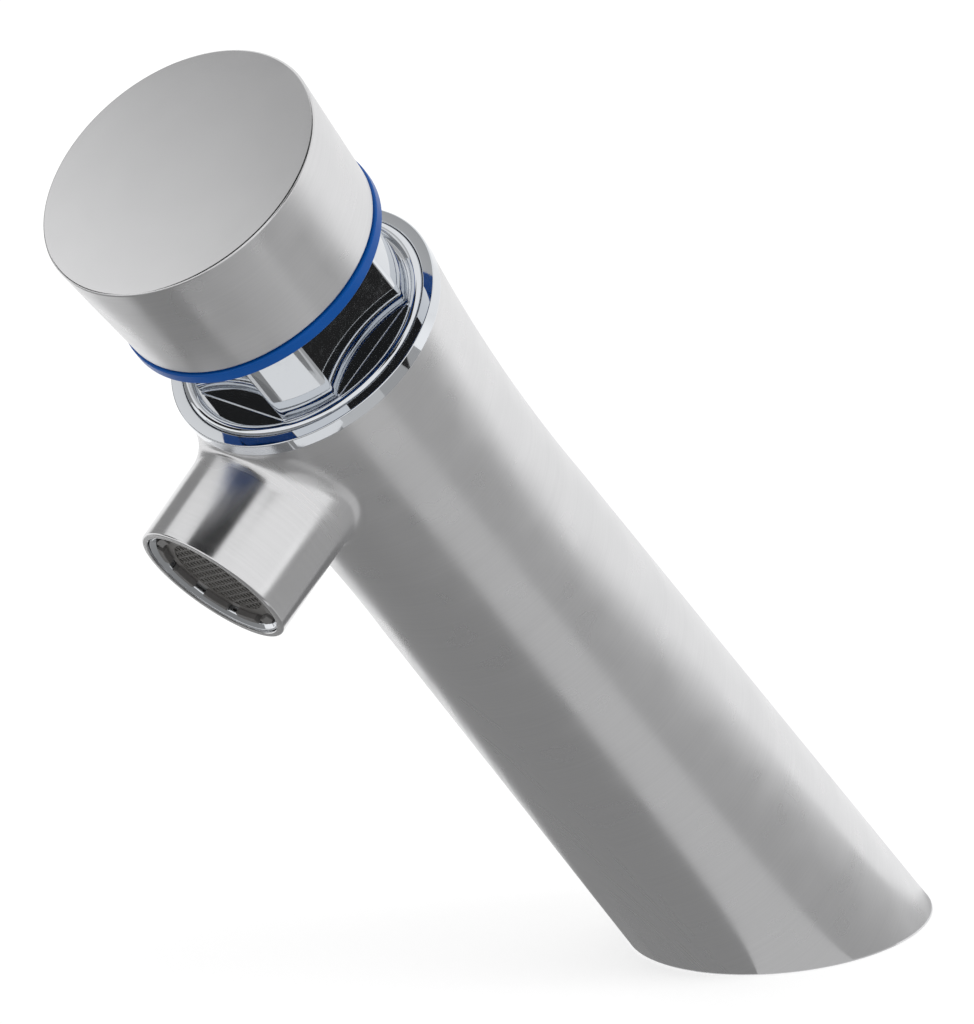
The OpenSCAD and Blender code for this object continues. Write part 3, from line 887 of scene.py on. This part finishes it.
@dataclass
class Head:
    """Chrome collar and cartridge head between the body and the cap."""

    body_top: float = 171.5
    collar_r: float = 24.5
    collar_top: float = 174.0
    rim_r: float = 22.4
    ledge: float = 172.5
    collar_bore_r: float = 18.1
    flange_r: float = 22.3
    bead_r: float = 1.025
    bead_mid_r: float = 21.275
    bead_t: float = 173.7
    bar_r: float = 19.75
    half_flat: float = 17.0
    bar_top: float = 194.0
    skirt_r: float = 17.9
    skirt_in_r: float = 14.3
    skirt_low: float = 166.3
    hollow_r: float = 12.0
    hollow_low: float = 175.0
    hollow_top: float = 186.0
    bush_r: float = 7.0
    bush_top: float = 192.6
    stem_r: float = 5.0
    collar_edge: float = 0.22
    head_edge: float = 0.18

    def collar(self) -> Thing:
        """Models the collar: a ring with a step down to the ledge under the head's flange."""
        profile = stepped(
            self.collar_bore_r, self.body_top, self.collar_r, self.collar_top, self.rim_r, self.ledge,
            self.collar_bore_r, self.body_top,
        )
        return Lathe.ring("collar", profile).finish(Line.BODY, self.collar_edge, 4)

    def flat_outline(self, t: float) -> list[Vector]:
        """Outline of a round bar with four flats, one point for each vertex number.

        Args:
            t: Its height.

        Returns:
            The points.
        """
        corner = math.acos(self.half_flat / self.bar_r)
        half = round(corner / math.tau * SIDES)
        quarter = SIDES // 4
        points = []
        for k in range(SIDES):
            side, step = divmod(k + half, quarter)
            step -= half
            if step <= half:
                x, y = self.half_flat, self.half_flat * math.tan(corner) * step / half
            else:
                share = (step - half) / (quarter - 2 * half)
                angle = corner + share * (math.pi / 2 - 2 * corner)
                x, y = self.bar_r * math.cos(angle), self.bar_r * math.sin(angle)
            turn = side * math.pi / 2
            points.append(Vector((
                x * math.cos(turn) - y * math.sin(turn), x * math.sin(turn) + y * math.cos(turn), t
            )))
        return points

    def cartridge_head(self) -> Thing:
        """Models the head: threaded skirt, beaded flange, bar with four flats and hollow inside."""
        lathe = Lathe("cartridge_head_chrome", self.skirt_r, self.skirt_low)
        lathe.turn(stepped(self.skirt_r, self.ledge, self.flange_r, self.bead_t))
        for i in range(1, 13):
            a = math.pi * i / 12
            lathe.turn([(self.bead_mid_r + self.bead_r * math.cos(a),
                         self.bead_t + self.bead_r * math.sin(a))])
        lathe.extrude_row(self.flat_outline(self.bead_t))
        lathe.extrude_row(self.flat_outline(self.bar_top))
        lathe.turn([(self.stem_r, self.bar_top)])
        lathe.turn(stepped(
            self.stem_r, self.bush_top, self.bush_r, self.hollow_top, self.hollow_r, self.hollow_low,
            self.skirt_in_r, self.skirt_low, self.skirt_r,
        ))
        lathe.close()
        return lathe.finish(Line.BODY, self.head_edge)


@dataclass
class PushCap:
    """Brushed push cap with its blue ring."""

    low: float = 192.55
    top: float = 215.95
    low_r: float = 23.45
    top_r: float = 25.0
    wall: float = 1.6
    ceiling: float = 213.35
    dome: float = 0.45
    middle_r: float = 1.0  # of the plain discs in the middle of the top and of the ceiling
    edge: float = 0.45
    ring_low: float = 190.17
    ring_high: float = 192.37
    ring_r: float = 23.8
    tongue_r: float = 21.75
    tongue_top: float = 198.55
    ring_bore_r: float = 20.5
    ring_edge: float = 0.35

    def cap(self) -> Thing:
        """Models the cap: a cup that widens to a faintly domed top."""
        slope = (self.top_r - self.low_r) / (self.top - self.low)
        inner_low = self.low_r - self.wall
        inner_top = inner_low + slope * (self.ceiling - self.low)
        lathe = Lathe("push_cap_shell", self.middle_r, self.ceiling)
        lathe.turn([(inner_top, self.ceiling), (inner_low, self.low), (self.low_r, self.low)])
        rise = self.top - self.dome - self.low
        for i in range(1, 5):
            lathe.turn([(self.low_r + slope * rise * i / 4, self.low + rise * i / 4)])
        outer = self.low_r + slope * rise
        for i in range(1, 13):
            radius = outer * (1 - i / 12) + self.middle_r * i / 12
            lathe.turn([(radius, self.top - self.dome * (radius / outer) ** 2)])
        lathe.fill()
        lathe.select_open(lambda co: True)
        lathe.fill()
        return lathe.finish(Line.BODY, self.edge, 5)

    def ring(self) -> Thing:
        """Models the blue ring with the tongue that holds it in the cap's mouth."""
        profile = stepped(
            self.ring_bore_r, self.ring_low, self.ring_r, self.ring_high, self.tongue_r, self.tongue_top,
            self.ring_bore_r, self.ring_low,
        )
        return Lathe.ring("cold_ring_blue", profile).finish(Line.BODY, self.ring_edge, 4)


@dataclass
class Aerator:
    """What shows in the outlet: the chrome housing, the notched cage and the perforated disc."""

    back: float = 31.3
    stop: float = 32.3  # front of the inner stop at the back
    stop_r: float = 9.8
    face: float = 40.9
    thread_r: float = 11.9
    flange_r: float = 12.6
    flange_back: float = 39.4
    bore_r: float = 11.5
    lip: float = 0.75  # the bright bevel inside its face
    cage_low: float = 35.1
    cage_r: float = 11.4
    cage_in_r: float = 10.1
    cage_ledge_r: float = 9.2
    cage_ledge: float = 38.7
    notch_floor: float = 39.1
    cage_front: float = 40.5
    notches: int = 10
    notch_columns: int = 6
    housing_edge: float = 0.2
    cage_edge: float = 0.12
    disc_low: float = 38.8
    disc_high: float = 39.4
    disc_r: float = 10.0
    net_r: float = 9.2
    rim_lap: float = 0.7  # what the disc's plain rim covers of the net
    rim_below: float = 0.05
    rim_above: float = 0.1
    cell: float = 1.5  # from hole to hole
    bar: float = 0.5  # between two holes

    def housing(self) -> Thing:
        """Models the chrome housing with its flange and its inner lip."""
        lip_r, lip_d = self.bore_r + self.lip, self.face - self.lip
        outside = stepped(
            self.stop_r, self.back, self.thread_r, self.flange_back, self.flange_r, self.face, lip_r
        )
        inside = stepped(self.bore_r, self.stop, self.stop_r, self.back)
        lathe = Lathe.ring("aerator_housing_chrome", [*outside, (self.bore_r, lip_d), *inside])
        return lathe.finish(Line.SPOUT, self.housing_edge, 4)

    def cage(self) -> Thing:
        """Models the cage: a ring whose front stands up in teeth between the notches."""
        lathe = Lathe.ring("aerator_cage_plastic", stepped(
            self.cage_ledge_r, self.cage_low, self.cage_r, self.notch_floor, self.cage_in_r,
            self.cage_ledge, self.cage_ledge_r, self.cage_low,
        ))
        gap = math.tau * self.notch_columns / SIDES / 2
        pitch = math.tau / self.notches
        lathe.select_faces(
            lambda co: abs(co.z - self.notch_floor) < 0.01
            and gap < math.atan2(co.y, co.x) % pitch < pitch - gap
        )
        bpy.ops.mesh.extrude_region_move(
            TRANSFORM_OT_translate={"value": (0.0, 0.0, self.cage_front - self.notch_floor)}
        )
        return lathe.finish(Line.SPOUT, self.cage_edge, 2)

    def disc(self) -> Thing:
        """Models the perforated disc: hexagonal holes in staggered rows inside a plain rim."""
        deselect()
        bpy.ops.mesh.primitive_circle_add(
            vertices=6, radius=self.cell / math.sqrt(3), fill_type="NGON", location=(0, 0, 0)
        )
        net = bpy.context.object
        net.name = net.data.name = "aerator_disc"
        cell = bmesh.new()
        cell.from_mesh(net.data)
        corners = [vert.co.copy() for vert in cell.verts]
        cell.clear()
        row_gap = self.cell * 0.8660254  # of an even-sided triangle
        rows = int(self.net_r / row_gap) + 1
        for j in range(-rows, rows + 1):
            for i in range(-rows, rows + 1):
                middle = Vector((j * row_gap, (i + j % 2 / 2) * self.cell, 0.0))
                if middle.length < self.net_r - self.cell * 0.1:
                    cell.faces.new([cell.verts.new(co + middle) for co in corners])
        cell.to_mesh(net.data)
        cell.free()
        only(net)
        bpy.ops.object.mode_set(mode="EDIT")
        bpy.ops.mesh.select_all(action="SELECT")
        bpy.ops.mesh.remove_doubles(threshold=0.01)
        bpy.ops.mesh.select_mode(type="FACE")
        bpy.ops.mesh.select_all(action="SELECT")
        bpy.ops.mesh.inset(thickness=self.bar / 2, use_individual=True)
        bpy.ops.mesh.delete(type="FACE")
        bpy.ops.object.mode_set(mode="OBJECT")
        modify(net, "SOLIDIFY", thickness=self.disc_high - self.disc_low, offset=1.0)
        net.data.transform(Matrix.Translation((0.0, 0.0, self.disc_low)))
        only(self.rim())
        net.select_set(True)
        bpy.context.view_layer.objects.active = net
        bpy.ops.object.join()
        return settle(net, Line.SPOUT, 0.0)

    def rim(self) -> Thing:
        """Models the plain rim that the net of the disc runs into."""
        inner = self.net_r - self.rim_lap
        low, high = self.disc_low - self.rim_below, self.disc_high + self.rim_above
        profile = stepped(inner, low, self.disc_r, high, inner, low)
        return Lathe.ring("aerator_disc_rim", profile).leave()


# Dressing


@dataclass
class Tap:
    """The whole tap: the new pieces in front of their CAD nodes, and a finish on every node."""

    finishes: dict[str, Material] = field(default_factory=dict)

    def make_finishes(self) -> None:
        """Makes one material for each slot of the record, and one for the body."""
        kinds = {
            "brushed_steel": BrushedSteel("brushed_stainless_cap"),
            "body_steel": BrushedSteel("brushed_stainless_body", with_spout=True),
            "chrome": PolishedChrome("polished_chrome_plate"),
            "blue_plastic": Moulded("gloss_blue_abs", "0058AE", "004E9E", 0.3, 1.2, 0.003, specular=0.2),
            "dark_plastic": Moulded("dark_acetal", "6C6A69", "5C5B5A", 0.42, 0.5, 0.01),
            "white_plastic": Moulded("natural_acetal", "E4E1D6", "D8D4C6", 0.38),
            "black_rubber": Moulded("black_nitrile_rubber", "1E1E20", "2A2A2C", 0.62, 0.3, 0.012),
            "steel_mesh": TurnedMetal("etched_steel_disc", "9A9896", "868482", 0.5, 0.4),
            "plain_steel": TurnedMetal("turned_steel", "B9BABB", "A5A6A8", 0.28),
            "brass": TurnedMetal("turned_brass", "D2AE5E", "B99046", 0.27),
            "copper": TurnedMetal("drawn_copper", "D59069", "B87452", 0.24, 1.5, 0.001),
        }
        for slot, finish in kinds.items():
            self.finishes[slot] = finish.material()

    def dress_nodes(self) -> None:
        """Gives every CAD node the finish of its slot."""
        slots = {row["node"]: row["material_slot"] for row in frame["record"]["subparts"]}
        for name, node in frame["nodes"].items():
            material = self.finishes[slots[name]]
            node.data.materials.clear()
            node.data.materials.append(material)
            LOG.info("%s: dressed in %s", name, material.name)

    def build(self) -> None:
        """Builds every new piece, dresses it and puts it in front of its node."""
        self.make_finishes()
        self.dress_nodes()
        head, cap, aerator = Head(), PushCap(), Aerator()
        plan = [
            (BodyShell().build, "body_steel", Part.TAP, "tap_body"),
            (head.collar, "chrome", Part.TAP, "collar_ring"),
            (head.cartridge_head, "chrome", Part.TAP, "cartridge_head"),
            (cap.cap, "brushed_steel", Part.CAP, "push_cap"),
            (cap.ring, "blue_plastic", Part.CAP, "cold_ring"),
            (aerator.housing, "chrome", Part.TAP, "aerator_housing"),
            (aerator.cage, "dark_plastic", Part.TAP, "aerator_cage"),
            (aerator.disc, "steel_mesh", Part.TAP, "aerator_mesh"),
        ]
        for model, finish, part, node in plan:
            piece = model()
            slot = "brushed_steel" if finish == "body_steel" else finish
            dress(piece, self.finishes[finish], part, slot)
            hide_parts(node)


# Studio


@dataclass(frozen=True)
class ReflectionCard:
    """A glowing card in the studio that paints a reflection, and shows in the metal alone."""

    name: str
    centre: tuple[float, float, float]  # in millimetres
    facing: tuple[float, float, float]
    up: tuple[float, float, float]  # the way from its lower edge to its upper one
    size: tuple[float, float]  # across and upwards
    low: float  # tone of its lower edge, where 1 is white
    high: float  # tone of its upper edge


WHITE = (1.0, 1.0, 1.0, 1.0)
UP = (0.0, 0.0, 1.0)  # a painted reflection card on the floor faces this way, and a standing one's upright runs this way
PAINTED_REFLECTION_CARDS = (
    # Painted reflections lying on the floor: a dark glowing card in front, a light one beside it and a grey
    # one to the right
    ReflectionCard("front_board_painted_reflection", (-46.0, -350.0, 0.2), UP, (0.61, -0.79, 0.0), (500.0, 500.0), 0.3, 0.22),
    ReflectionCard("light_board_painted_reflection", (306.0, -176.0, 0.1), UP, (0.26, -0.97, 0.0), (500.0, 500.0), 0.6, 0.6),
    ReflectionCard("right_board_painted_reflection", (289.0, 203.0, 0.3), UP, (0.98, -0.17, 0.0), (500.0, 500.0), 0.42, 0.42),
    # Painted reflections on them: a black strip and a white one, for the head's flat side and its corner
    ReflectionCard("black_strip_painted_reflection", (364.0, 193.0, 0.5), UP, (0.67, 0.74, 0.0), (36.0, 160.0), 0.02, 0.02),
    ReflectionCard("white_strip_painted_reflection", (63.0, -140.0, 0.5), UP, (-0.3, 0.95, 0.0), (84.0, 16.0), 0.9, 0.9),
    # Painted reflections farther out, a dark strip and a light one, which only the cap's side mirrors
    ReflectionCard("dark_strip_painted_reflection", (155.0, -113.0, 0.4), UP, (-0.55, 0.83, 0.0), (132.0, 38.0), 0.25, 0.25),
    ReflectionCard("left_strip_painted_reflection", (-100.0, -148.0, 0.4), UP, (0.46, 0.89, 0.0), (90.0, 34.0), 0.8, 0.8),
    # Painted reflections: black over the spout, and grey to the left of it
    ReflectionCard(
        "over_board_painted_reflection", (19.0, -196.0, 246.0), (-0.08, 0.44, -0.9), (0.0, -0.9, -0.44), (120.0, 220.0),
        0.02, 0.02,
    ),
    ReflectionCard(
        "left_board_painted_reflection", (-145.0, -121.0, 162.0), (0.94, -0.07, -0.33), (0.0, -0.75, -0.66), (106.0, 140.0),
        0.3, 0.3,
    ),
    # A painted reflection over the cap's top, light at the front and grey at the back
    ReflectionCard(
        "top_board_painted_reflection", (-86.0, -159.0, 244.0), (0.72, 0.17, -0.67), (0.0, 0.77, 0.64), (160.0, 80.0),
        1.02, 0.4,
    ),
    # Black painted reflections before the two flats of the head that show
    ReflectionCard(
        "front_black_painted_reflection", (-216.0, -309.0, 224.0), (0.72, 0.63, -0.28), UP, (160.0, 130.0), 0.02, 0.02
    ),
    ReflectionCard("side_black_painted_reflection", (67.0, -128.0, 188.0), (-0.72, 0.17, -0.67), UP, (36.0, 32.0), 0.02, 0.02),
)


@dataclass
class Studio:
    """Floor, backdrop, lamps, glowing cards that paint reflections in the metal, and the camera."""

    eye: tuple[float, float, float] = (1.157224, -1.160474, 0.626674)
    look: tuple[float, float, float] = (-0.010846, -0.06, 0.086581)
    lens: float = 352.41
    sensor: float = 36.0
    soft: float = 0.62  # strength of the light from all round
    floor_size: float = 8.0
    floor_drop: float = 0.0002  # what keeps the floor and the base apart
    floor_seen: float = 0.55  # tone of the floor where it is seen
    floor_bounce: float = 0.8  # and where it throws light back

    def camera(self) -> None:
        """Sets the camera at the photograph's place, with its upright level."""
        data = bpy.data.cameras.new("camera")
        data.lens = self.lens
        data.sensor_width = self.sensor
        data.sensor_fit = "AUTO"
        data.clip_start, data.clip_end = 0.01, 50.0
        camera = bpy.data.objects.new("camera", data)
        bpy.context.scene.collection.objects.link(camera)
        camera.location = self.eye
        camera.rotation_euler = (Vector(self.look) - Vector(self.eye)).to_track_quat("-Z", "Y").to_euler()
        bpy.context.scene.camera = camera

    def world(self) -> None:
        """Sets a white surround for the camera and the metal, and a plain soft light for the rest."""
        world = bpy.data.worlds.new("studio")
        bpy.context.scene.world = world
        world.use_nodes = True
        tree = world.node_tree
        tree.nodes.clear()
        seen = self.seen(tree)
        soft = add_node(tree, "ShaderNodeBackground", {"Color": WHITE, "Strength": self.soft})
        white = add_node(tree, "ShaderNodeBackground", {"Color": WHITE, "Strength": 1.0})
        mix = add_node(
            tree, "ShaderNodeMixShader", links={0: seen, 1: soft.outputs[0], 2: white.outputs[0]}
        )
        add_node(tree, "ShaderNodeOutputWorld", links={0: mix.outputs[0]})

    def seen(self, tree: Tree) -> Socket:
        """Returns: 1 for a ray of the camera, a reflection or a refraction, and 0 for the rest."""
        ray = add_node(tree, "ShaderNodeLightPath").outputs
        both = reckoned(tree, "MAXIMUM", ray["Is Camera Ray"], ray["Is Glossy Ray"])
        return reckoned(tree, "MAXIMUM", both, ray["Is Transmission Ray"])

    def floor(self) -> None:
        """Lays a pale floor that is white to the camera and keeps the tap's soft shadow."""
        deselect()
        bpy.ops.mesh.primitive_plane_add(size=self.floor_size, location=(0.0, 0.0, -self.floor_drop))
        floor = bpy.context.object
        floor.name = "floor"
        made, tree = new_material("pale_floor")
        seen = self.seen(tree)
        lit, plain = (
            add_node(tree, "ShaderNodeBsdfDiffuse", {"Color": (tone, tone, tone, 1.0)})
            for tone in (self.floor_seen, self.floor_bounce)
        )
        glow = add_node(tree, "ShaderNodeEmission", {"Color": WHITE, "Strength": self.soft})
        both = add_node(tree, "ShaderNodeAddShader", links={0: lit.outputs[0], 1: glow.outputs[0]})
        mix = add_node(
            tree, "ShaderNodeMixShader", links={0: seen, 1: plain.outputs[0], 2: both.outputs[0]}
        )
        add_node(tree, "ShaderNodeOutputMaterial", links={"Surface": mix.outputs[0]})
        made.cycles.emission_sampling = "NONE"
        floor.data.materials.append(made)

    def lamps(self) -> None:
        """Adds two large soft lamps, which the metal doesn't mirror, because it mirrors the painted
        reflection cards.
        """
        for name, place, size, watts in (
            ("key_lamp", (1.6, 0.6, 1.8), 1.4, 14.0),
            ("fill_lamp", (-1.5, -0.8, 1.5), 1.6, 7.0),
        ):
            data = bpy.data.lights.new(name, "AREA")
            data.shape = "SQUARE"
            data.size = size
            data.energy = watts
            lamp = bpy.data.objects.new(name, data)
            bpy.context.scene.collection.objects.link(lamp)
            lamp.location = place
            lamp.visible_glossy = False
            lamp.rotation_euler = (Vector((0, 0, 0.08)) - Vector(place)).to_track_quat("-Z", "Y").to_euler()

    def place_painted_reflection(self, row: ReflectionCard) -> None:
        """Places one painted reflection: a card whose front glows in its tone, seen in reflections alone.

        Args:
            row: The card.
        """
        facing = Vector(row.facing).normalized()
        up = Vector(row.up)
        up = (up - up.dot(facing) * facing).normalized()
        place = Matrix((up.cross(facing), up, facing)).transposed().to_4x4()
        place.translation = Vector(row.centre)
        deselect()
        bpy.ops.mesh.primitive_plane_add(size=1.0)
        thing = bpy.context.object
        thing.name = row.name
        thing.data.transform(Matrix.Scale(MM, 4) @ place @ Matrix.Diagonal((*row.size, 1.0, 1.0)))
        made, tree = new_material(row.name)
        across = add_node(tree, "ShaderNodeTexCoord").outputs["UV"]
        height = add_node(tree, "ShaderNodeSeparateXYZ", links={0: across}).outputs["Y"]
        tone = ranged(tree, height, (0.0, 1.0), (row.low, row.high))
        # the painted reflection's glow, running from the lower edge's tone to the upper one's
        glow = add_node(tree, "ShaderNodeEmission", {"Color": WHITE}, {"Strength": tone})
        side = add_node(tree, "ShaderNodeNewGeometry")
        clear = add_node(tree, "ShaderNodeBsdfTransparent")
        front = add_node(
            tree, "ShaderNodeMixShader",
            links={0: side.outputs["Backfacing"], 1: glow.outputs[0], 2: clear.outputs[0]},
        )
        add_node(tree, "ShaderNodeOutputMaterial", links={"Surface": front.outputs[0]})
        made.cycles.emission_sampling = "NONE"
        thing.data.materials.append(made)
        for ray in ("camera", "diffuse", "transmission", "volume_scatter", "shadow"):
            setattr(thing, f"visible_{ray}", False)

    def build(self) -> None:
        """Builds the whole studio."""
        bpy.context.scene.view_settings.view_transform = "Standard"
        self.camera()
        self.world()
        self.floor()
        self.lamps()
        # painted reflections: glowing cards that only the metal sees
        for row in PAINTED_REFLECTION_CARDS:
            self.place_painted_reflection(row)


def main() -> None:
    """Builds the studio and the tap."""
    logging.basicConfig(level=logging.INFO, format="%(name)s: %(message)s")
    Studio().build()
    Tap().build()


if __name__ == "__main__":
    main()
